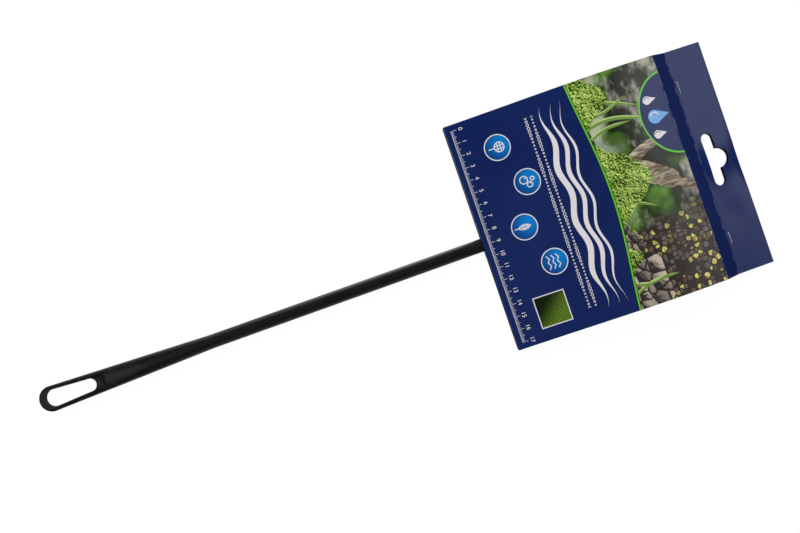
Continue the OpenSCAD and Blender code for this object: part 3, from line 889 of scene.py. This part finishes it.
def printMaterial(name, motif=None):
    p, c = printPlaces, printColours
    material, shader, where = newMaterial(name, specular=0.5, coat=0.25, coatRough=0.12)
    x, y = parts(where)[:2]
    u, v = times(less(x, wallX), 1 / mm), times(y, 1 / mm)
    flat = addNode("ShaderNodeCombineXYZ", (u, v)).outputs[0]
    ground = mix(times(rise(noise(where, 14, 3, 0.55), 0.35, 0.75), 0.6), c["navy"], c["navyLight"])
    colour, crease = ground, cardSizes["front"] / mm
    if motif == "signs":
        colour = wavesOn(u, v, swatchOn(u, v, signsOn(flat, rulerOn(u, v, colour))))
    if motif == "scene":
        bend = sums("COSINE", times(v, 2 * pi / p["borderLength"]))
        above = less(u, scaled(bend, p["borderWave"], p["border"]))  # height over the wavy border
        picture = badgeOn(flat, u, v, ground, sceneOn(where, flat, u, v, above))
        colour = mix(rise(above, -0.1, 0.1), colour, picture)
        colour = mix(rise(size(above), p["line"] * 2.6, p["line"] * 1.2), colour, c["mossDark"])
        colour = mix(rise(size(above), p["line"] * 1.3, p["line"] * 0.7), colour, c["line"])
        colour = mix(rise(u, crease - 0.2, crease + 0.1), colour, ground)
    if motif != "signs":
        scuff = rise(noise(where, 130, 3, 0.6), 0.46, 0.60)  # the varnish cracks pale along the folds
        for foldX, amount in ((creaseX, 0.55), (stapleX, 0.35)):
            crack = bothOf(rise(size(less(u, (foldX - wallX) / mm)), 0.34, 0.08), scuff)
            colour = mix(times(crack, amount), colour, c["worn"])
    feed(shader, "Base Color", colour)
    feed(shader, "Roughness", scaled(noise(where, 1500, 3, 0.6), 0.04, 0.22))
    addBump(shader, noise(where, 90, 2, 0.5), 0.02 * mm, 0.35)
    return material


def makeCard():
    s = slotSizes
    # the cut edge is painted shade: dark navy grey in place of the grey board's own tone
    rim = boardMaterial("boardEdgeShade", printColours["rim"])
    looks = (printMaterial("cardPrintSigns", "signs"), boardMaterial("boardInside", printColours["board"]), rim,
             printMaterial("cardPrintScene", "scene"))
    outer = raised(frontPath(), board)
    front = bentSheet(outer, outer[cardSizes["crownSteps"]:][:2], 1)
    waveFront(front)
    thicken(front, looks)
    cutHeader(front, 0)
    bead = addCylinder(board / 2, cardWidth, (wallX + board / 2, 0, wallTop - board / 2), (radians(90), 0, 0), 24)
    front = joinPieces([front, bead])
    dress(front, "cardFrontSheet", "flap", "card_front", 25, *looks)
    for face in front.data.polygons:
        if face.material_index == 0 and face.center.x > wallX + printPlaces["sceneFrom"] * mm:
            face.material_index = 2 if abs(face.normal.z) < 0.5 else 3  # cut edge in painted shade, or the scene
        if face.center.x < wallX + board * 1.2:
            face.material_index = 0  # the print runs over the fold

    looks = (printMaterial("cardPrintPlain"), punchedMaterial(), rim)
    back = bentSheet(backPath(), backPath()[1:4], -1)
    thicken(back, looks)
    cutHeader(back, s["backShift"])
    combine(back, slotCutter(s["passWidth"], s["passHeight"], 6 * mm, (wallX, axisY, axisZ), alongX))
    for face in back.data.polygons:
        if face.center.z > wallTop - 1.2 * board and face.center.x < wallX + 1 * mm:
            face.material_index = 0
    dress(back, "cardBackSheet", "card", "card_back", 25, *looks)


makeCard()


# Plain numbers along the ruler, and flat wire staples through both plies of the header, clinched behind

rulerNumbers = inMm(size=4.6, foot=10.6, ink=0.01, above=0.03)
inkLook = {
    "name": "whiteInk", "shader": {"roughness": 0.35, "specular": 0.5, "coat": 0.25, "coatRough": 0.12},
    "grain": (700, 3, 0.6), "between": (0.55, 0.75),
    "tones": (printColours["ink"], darker(printColours["ink"], 0.86)),
}
stapleSizes = inMm(bend=0.4, top=0.33, low=-1.405, clinch=3.1, bow=0.25)
stapleLook = {
    "name": "stapleWire", "shader": {"metallic": 0.45, "specular": 0.8},
    "grain": (900, 3, 0.6, (1, 0.12, 1)), "between": (0.3, 0.7), "tones": ((0.68, 0.71, 0.78), (0.84, 0.87, 0.94)),
    "spots": (2400, 2, 0.5), "dull": (0.2, 0.3), "bump": (0.01 * mm, 0.4),
}


def makeRulerNumbers():
    r, zero = rulerNumbers, printPlaces["rulerZero"]
    numbers = []
    for number in range(2 * zero // 10 + 1):
        text = added(bpy.ops.object.text_add, location=(wallX + r["foot"], (zero - 10 * number) * mm, 0),
                     rotation=(0, 0, radians(-90)))
        text.data.body, text.data.align_x = str(number), "CENTER"
        text.data.size, text.data.extrude = r["size"], r["ink"]
        bpy.ops.object.convert(target="MESH")
        numbers.append(bpy.context.object)
    numbers = joinPieces(numbers)
    for point in numbers.data.vertices:  # lay them on the curved panel
        point.co.z += panelLevel(point.co.x) + board + stray(point.co.x, point.co.y) + r["above"]
    dress(numbers, "rulerNumbers", "flap", "card_front", None, grainMaterial(inkLook), instead=False)


def makeStaples():
    t = stapleSizes
    half = [(stapleReach, t["top"]), (stapleReach, t["low"]), (stapleReach - t["clinch"], t["low"] + t["bow"])]
    line = rounded([(0, -y, z) for y, z in reversed(half)] + [(0, y, z) for y, z in half], t["bend"])
    staples = []
    for y in stapleYs:
        staple = sweep(line, radius=slotSizes["stapleWire"] / 2)
        level = cardSizes["stapleLevel"] + stray(stapleX + slotSizes["stapleInset"], y)
        staple.matrix_world = (Matrix.Translation((stapleX, y, level)) @ Matrix.Rotation(headerTilt, 4, "Y")
                               @ Matrix.Translation((slotSizes["stapleInset"], 0, 0)))
        staples.append(settle(staple))
    dress(joinPieces(staples), "stapleWires", "flap", "staples", 40, grainMaterial(stapleLook))


makeRulerNumbers()
makeStaples()


# Hem: black tape folded round the coated wire and sewn to the bag along its flange

headSizes = {
    **inMm(nearBar=22.6, farBar=155.5,  # middle of the wire, from the handle's end
           halfWidth=82.45, corner=14, hemFrom=8.5, hemRadius=2.55, tape=0.7, flange=6, ply=0.66, slit=0.05,
           hemStep=2.5, flutter=0.2, flutterSize=11, bridgeLap=1, stitchLine=5.55, stitchPitch=6.2,
           stitchProud=0.03),
    "bridgeSteps": 14, "stitch": (3.6 * mm, 0.62 * mm, 0.46 * mm),
}
barX0, barX1 = neckX + headSizes["nearBar"], neckX + headSizes["farBar"]
threadLook = {
    "name": "sewingThread", "shader": {"roughness": 0.55, "specular": 0.45, "sheen": 0.3, "sheenRough": 0.4},
    "grain": (2600, 2, 0.5, (1, 1, 0.3)), "tones": ((0.035, 0.036, 0.040), (0.085, 0.087, 0.095)),
    "bump": (0.06 * mm, 0.7),
}


def aroundFrame(inset, step):  # places and headings along the frame, from one side of the handle to the other
    h = headSizes
    nearX, farX = barX0 + inset, barX1 - inset
    wide, corner = h["halfWidth"] - inset, h["corner"] - inset
    long, short = farX - nearX - 2 * corner, wide - corner - h["hemFrom"]
    runs = [((nearX, h["hemFrom"]), (0, 1), short), ((nearX + corner, wide), (1, 0), long),
            ((farX, wide - corner), (0, -1), 2 * (wide - corner)), ((farX - corner, -wide), (-1, 0), long),
            ((nearX, corner - wide), (0, 1), short)]
    places = []
    for number, (start, heading, length) in enumerate(runs):
        start, heading = Vector((start[0], start[1] + axisY, axisZ)), Vector((*heading, 0))
        count, last = round(length / step), number == len(runs) - 1
        places += [(start + heading * length * part / count, heading) for part in range(count + last)]
        if not last:
            inward = Vector((heading.y, -heading.x, 0))
            centre = start + heading * length + inward * corner
            count = max(2, round(corner * pi / 2 / step))
            for turn in (Matrix.Rotation(-pi / 2 * part / count, 3, "Z") for part in range(count)):
                places.append((centre - turn @ inward * corner, turn @ heading))
    return places


def flutter(x, y):  # how the tape's free edge lifts and dips
    wide = headSizes["flutterSize"]
    return headSizes["flutter"] * mathutils.noise.noise(Vector((x / wide, y / wide, 4.2)))


def tapeMaterial():
    material, shader, where = newMaterial("wovenTape", roughness=0.8, specular=0.3, sheen=0.12, sheenRough=0.5)
    x, y = parts(where)[:2]
    warp, weft = [sums("SINE", times(aslant, 9000)) for aslant in (plus(x, y), less(x, y))]
    weave = scaled(times(warp, weft), 0.5, 0.5)
    lint = noise(where, 450, 4, 0.7)
    colour = mix(weave, (0.012, 0.0125, 0.014), (0.030, 0.031, 0.035))
    feed(shader, "Base Color", mix(rise(lint, 0.6, 0.78), colour, (0.055, 0.056, 0.062)))
    addBump(shader, scaled(lint, 0.4, weave), 0.08 * mm, 0.7)
    return material


def tape(top, rest, line):  # a section that is alike above and below, carried along a line
    outline = top + rest[0] + [(a, -b) for a, b in reversed(top)] + rest[1]
    return sweep(line, section=drawLine([(-a, b, 0) for a, b in outline], closed=True))


def makeHem():
    h = headSizes
    ply, outer, inner = h["ply"], h["hemRadius"], h["hemRadius"] - h["tape"]
    tip = outer + h["flange"]
    top = [(tip, h["slit"]), (tip + 0.06 * mm, ply * 0.5), (tip - 0.1 * mm, ply), (tip - 1.5 * mm, ply),
           (outer + 1.9 * mm, ply + 0.02 * mm), (outer + 0.9 * mm, ply + 0.14 * mm),
           (outer + 0.2 * mm, ply + 0.45 * mm)]
    bend, core = [[(radius * cos(angle), radius * sin(angle)) for angle in (
        radians(start + turn * step / steps) for step in range(steps + 1))]
        for radius, start, turn, steps in ((outer, 35, 290, 24), (inner, 348, -336, 20))]
    hem = tape(top, (bend, core), [place for place, heading in aroundFrame(0, h["hemStep"])])

    # between the hem's two ends the same tape binds the mesh alone
    thick, bound = ply * 0.9, outer + 1.3 * mm
    top = [(tip, 0.02 * mm), (tip - 0.05 * mm, thick * 0.7), (tip - 0.4 * mm, thick), (bound + 0.6 * mm, thick),
           (bound + 0.1 * mm, thick * 0.7)]
    reach, steps = h["hemFrom"] + h["bridgeLap"], h["bridgeSteps"]
    bridge = tape(top, ([(bound, 0)], []), [(barX0, axisY - reach + 2 * reach * step / steps, axisZ)
                                            for step in range(steps + 1)])
    hem = joinPieces([hem, bridge])
    for point in hem.data.vertices:  # only the flange moves, more towards its edge
        inward = min(point.co.x - barX0, barX1 - point.co.x, h["halfWidth"] - abs(point.co.y - axisY))
        point.co.z += flutter(point.co.x, point.co.y) * unit((inward - outer) / h["flange"])
    dress(layAskew(hem), "hemTape", "net", "hem_band", 40, tapeMaterial())


def makeStitches():
    h = headSizes
    first = added(mesh.primitive_uv_sphere_add, segments=8, ring_count=6, radius=0.5)
    first.scale = h["stitch"]
    settle(first)
    free = (h["stitchLine"] - h["hemRadius"]) / h["flange"]
    stitches = []
    for place, heading in aroundFrame(h["stitchLine"], h["stitchPitch"]):
        for side in (1, -1):
            stitch = first.copy()
            stitch.data = first.data.copy()
            bpy.context.collection.objects.link(stitch)
            up = side * (h["ply"] + h["stitchProud"]) + flutter(place.x, place.y) * free
            stitch.matrix_world = (Matrix.Translation(place + Vector((0, 0, up)))
                                   @ Matrix.Rotation(atan2(heading.y, heading.x), 4, "Z"))
            stitches.append(stitch)
    bpy.data.objects.remove(first)
    dress(layAskew(joinPieces(stitches)), "hemStitches", "net", "hem_thread", 60, grainMaterial(threadLook))


makeHem()
makeStitches()


# Bag: fine mesh laid in folds between the card's panels, sewn into the hem's flange

bagSizes = {
    **inMm(foldDepth=3.6, headGap=1.3, drawRoom=24, tuck=1, corner=6.4, drop=5, floor=1.25, pitch=1.2,
           thread=0.3, crumple=0.9, seamIn=3.4, seamRadius=0.95, seamEnd=2, gather=2.6),
    "folds": 4, "seamSteps": 150,
}
flangeEdge = headSizes["hemRadius"] + headSizes["flange"]
bagX0, bagX1, bagHalf = barX0 + flangeEdge, barX1 - flangeEdge, headSizes["halfWidth"] - flangeEdge
meshLook = {
    "name": "netMesh", "shader": {"specular": 0.45, "sheen": 0.25, "sheenRough": 0.4},
    "grain": (1700, 3, 0.6), "between": (0.35, 0.7), "tones": ((0.014, 0.016, 0.017), (0.040, 0.044, 0.046)),
    "blot": ((40, 3, 0.5), 0.3, (0.050, 0.056, 0.056)), "bump": (0.05 * mm, 0.6),
}


def crumple(x, y, wide, seed, low=-1):  # from -1 to 1, or from 0 to 1
    value = mathutils.noise.noise(Vector((x / wide, y / wide, seed)))
    return value if low else 0.5 + 0.5 * value


def soften(share):
    return share * share * (3 - 2 * share)


def bagTop(x):  # top of the folds, clear of the front panel also when the net is drawn out
    b = bagSizes
    share = unit((x - bagX0) / (bagX1 - bagX0))
    crest = min(panelLevel(x), panelLevel(x - b["drawRoom"])) - b["headGap"]
    return crest - b["foldDepth"] * (1 - abs(sin(pi * b["folds"] * share))) ** 2


def upperLevel(x, y):
    return (bagTop(x + 2.2 * mm * crumple(x, y, 38 * mm, 2.0)) - 0.35 * mm
            - bagSizes["crumple"] * crumple(x, y, 15 * mm, 0.3, 0) - 0.3 * mm * crumple(x, y, 5 * mm, 7.1, 0))


def middleLevel(x, y):
    b = bagSizes
    share = (x - bagX0) / (bagX1 - bagX0) + 0.03 * crumple(x, y, 30 * mm, 5.5)
    wave = 0.5 - 0.5 * cos(2 * pi * b["folds"] * share)
    low, high = b["floor"] + 0.9 * mm, bagTop(x) - 2.4 * mm
    return low + (high - low) * (0.12 + 0.76 * wave) + 0.5 * b["crumple"] * crumple(x, y, 11 * mm, 9.2)


def lowerLevel(x, y):
    return bagSizes["floor"] + bagSizes["crumple"] * crumple(x, y, 13 * mm, 3.4, 0) * 0.8


def layNet(name, level, instead=False):  # a layer of diamond mesh; level gives its height away from the hem
    b = bagSizes
    middle = Vector(((bagX0 + bagX1) / 2, axisY, 0))
    halfX, halfY, corner = (bagX1 - bagX0) / 2 + b["tuck"], bagHalf + b["tuck"], b["corner"]
    net = added(mesh.primitive_grid_add, x_subdivisions=round(halfX / b["pitch"]) * 2,
                y_subdivisions=round(halfY / b["pitch"]) * 2, size=2, location=middle)
    net.scale = (halfX, halfY, 1)
    settle(net)
    useModifier(net, "DECIMATE", decimate_type="UNSUBDIV", iterations=1)
    for point in net.data.vertices:
        off = point.co - middle
        past = Vector((abs(off.x) - halfX + corner, abs(off.y) - halfY + corner))
        if min(past) > 0 and past.length > corner:  # corners follow the hem's bend
            past *= corner / past.length
            point.co.x = middle.x + copysign(halfX - corner + past.x, off.x)
            point.co.y = middle.y + copysign(halfY - corner + past.y, off.y)
        fromEdge = corner - (past.length if min(past) > 0 else max(past)) - b["tuck"]
        share = soften(unit(fromEdge / b["drop"]))
        x, y = point.co.x, point.co.y
        point.co.z = axisZ + (level(x, y) - axisZ) * share + flutter(x, y) * (1 - share)
    useModifier(net, "WIREFRAME", thickness=b["thread"], use_replace=True, use_even_offset=False)
    dress(layAskew(net), name, "net", "net_bag", 60, netLook, instead=instead)


def makeSeams():
    b = bagSizes
    steps, inset = b["seamSteps"], b["corner"] - b["seamEnd"]
    fromX, toX = bagX0 + inset, bagX1 - inset
    seams = []
    for side in (1, -1):
        y = axisY + side * (bagHalf - b["seamIn"])
        line = []
        for step in range(steps + 1):
            x = fromX + (toX - fromX) * step / steps
            end = soften(min(1, step / 10, (steps - step) / 10))
            top = upperLevel(x, y) - b["seamRadius"] * 0.4
            line.append(Vector((x, y + 0.5 * mm * crumple(x, y, 9 * mm, 8.8), axisZ + (top - axisZ) * end)))
        seam = sweep(line, radius=b["seamRadius"])
        for point in seam.data.vertices:  # gathers, and the lumps of netting caught in them
            x = min(max(point.co.x, fromX), toX)
            nearest = line[round((x - fromX) / (toX - fromX) * steps)]
            offY, offZ = point.co.y - nearest.y, point.co.z - nearest.z
            swell = (0.26 * sin(2 * pi * x / b["gather"])
                     + 0.35 * crumple(x + offY * 2, offZ * 3, 2.2 * mm, 6.1 + side))
            point.co.y += offY * swell
            point.co.z += offZ * min(swell, 0.2)
        seams.append(seam)
    dress(layAskew(joinPieces(seams)), "sideSeams", "net", "side_seams", 60, netLook)


netLook = grainMaterial(meshLook)
layNet("netUpperFolds", upperLevel, instead=True)
layNet("netMiddleFolds", middleLevel)
layNet("netLowerLayer", lowerLevel)
makeSeams()


# Frame and socket keep their solids' shapes

coatingLook = {
    "name": "dippedCoating", "shader": {"specular": 0.5, "coat": 0.3, "coatRough": 0.08},
    "grain": (160, 3, 0.5), "tones": ((0.008, 0.008, 0.009), (0.016, 0.016, 0.018)),
    "dull": (0.2, 0.14), "bump": (0.15 * mm, 0.4),
}
springWireLook = {
    "name": "springWire", "shader": {"metallic": 1.0},
    "grain": (1300, 3, 0.65), "tones": ((0.40, 0.41, 0.43), (0.66, 0.67, 0.68)),
    "dull": (0.25, 0.18), "bump": (0.01 * mm, 0.5),
}
for node, look in (("frame_socket", bpy.data.materials["blackPlastic"]),
                   ("frame_coating", grainMaterial(coatingLook)), ("frame_wire", grainMaterial(springWireLook))):
    frame["nodes"][node].material_slots[0].material = look
print("frame and socket finished")


# Light: a wide key lamp past the handle, two fills, and a studio round it that only gloss can see

lightSizes = {  # place, size, power
    "key": ((-0.15, 1.15, 1.25), (1.6, 0.8), 20),
    "fill": ((0.2, -1.3, 1.3), (1.6, 0.9), 7),
    "end": ((1.5, 0.1, 1.2), (0.8, 1.2), 2),
}
lightAim = Vector((0.05, 0, 0))
studioLook = {
    "ambient": 0.34,  # what matt surfaces get from all round
    "overhead": 0.02, "horizon": (0.72, -0.15),
    "sides": (0.30, 0.32, 0.36),  # strength along X, its gain towards +Y, its gain towards both Y
    "pastHeader": (0.45, 0.9, -0.3),  # the horizon is darker past the header
    "boxes": [  # direction, outer and inner reach, strength
        ((0.60, 0.10, 0.79), 0.335, 0.06, 1.25), ((-0.44, 0.0, 0.898), 0.20, 0.10, 1.3),
    ],
}
# The floor is white to the camera. To glossy rays it glows as a painted reflection: brighter on the far side and
# towards the card, with painted shade on the near side and painted shadow by the wall, past the card and past the eye
floorLook = {
    "size": 12.0, "low": -0.05 * mm, "white": 0.93, "grey": (0.72, 0.72, 0.73), "glow": 1.04,
    "glossLow": 0.04, "glossNear": 0.42, "glossFar": 0.40, "glossCard": 1.5,  # what gloss sees of it, a painted reflection
    "byWall": (2.5 * mm, 5 * mm),  # painted shadow where the wall stands on it, and painted shade past the card and the eye
    "pastCard": (260 * mm, 120 * mm), "pastEye": (-280 * mm, -274 * mm),
    "farSide": (-15 * mm, 25 * mm), "byCard": (-150 * mm, 40 * mm),
}


def makeLights():
    for name, (place, wide, power) in lightSizes.items():
        lamp = added(bpy.ops.object.light_add, type="AREA", location=place)
        lamp.name = name + "Light"
        lamp.data.shape, lamp.data.energy = "RECTANGLE", power
        lamp.data.size, lamp.data.size_y = wide
        lamp.visible_glossy = False
        lamp.rotation_euler = (lightAim - Vector(place)).to_track_quat("-Z", "Y").to_euler()
    look, world = studioLook, bpy.data.worlds.new("studioWorld")
    world.use_nodes = True
    bpy.context.scene.world = world
    tree = world.node_tree
    direction = addNode("ShaderNodeTexCoord", tree=tree).outputs["Generated"]
    x, y, z = parts(direction)
    alike, far, both = look["sides"]
    fromX, toX, gain = look["pastHeader"]
    side = scaled(rise(x, fromX, toX), gain, scaled(y, scaled(y, both, far), alike))
    gloss = scaled(rise(z, *look["horizon"]), side, look["overhead"])
    for toward, outer, inner, strength in look["boxes"]:
        gloss = scaled(rise(vectorSum("DISTANCE", direction, toward, "Value"), outer, inner), strength, gloss)
    rays = addNode("ShaderNodeLightPath", tree=tree).outputs
    level = scaled(less(gloss, look["ambient"]), rays["Is Glossy Ray"], look["ambient"])
    air = tree.nodes["Background"]
    feed(air, "Strength", scaled(rays["Is Camera Ray"], 1 - look["ambient"], level))
    feed(air, "Color", (1, 1, 1))


def makeFloor():
    look = floorLook
    floor = added(mesh.primitive_plane_add, size=look["size"], location=(0, 0, look["low"]))
    floor.name = "paleFloor"
    material, shader, where = newMaterial("floorWhite", roughness=0.9, colour=look["grey"], specular=0.0)
    tree = material.node_tree
    x, y = parts(where)[:2]
    # painted reflection with painted shade and shadow: how strongly the floor glows for glossy rays, by place
    alongHandle = bothOf(rise(size(less(x, wallX)), *look["byWall"]), rise(x, *look["pastCard"]),
                         rise(x, *look["pastEye"]))
    byCard = scaled(rise(x, *look["byCard"]), look["glossCard"], look["glossFar"])
    gloss = scaled(scaled(rise(y, *look["farSide"]), byCard, look["glossNear"]), alongHandle, look["glossLow"])
    rays = addNode("ShaderNodeLightPath", tree=tree).outputs
    glossy = rays["Is Glossy Ray"]
    strength = scaled(less(gloss, look["glow"]), glossy, look["glow"])
    glow = addNode("ShaderNodeEmission", {"Color": (1, 1, 1), "Strength": strength})
    share = sums("MAXIMUM", times(rays["Is Camera Ray"], look["white"]), glossy)
    blend = addNode("ShaderNodeMixShader", (share, shader.outputs[0], glow.outputs[0]))
    feed(tree.nodes["Material Output"], "Surface", blend.outputs[0])
    floor.data.materials.append(material)


makeLights()
makeFloor()
bpy.context.scene.view_settings.view_transform = "Standard"
print("light and floor made")
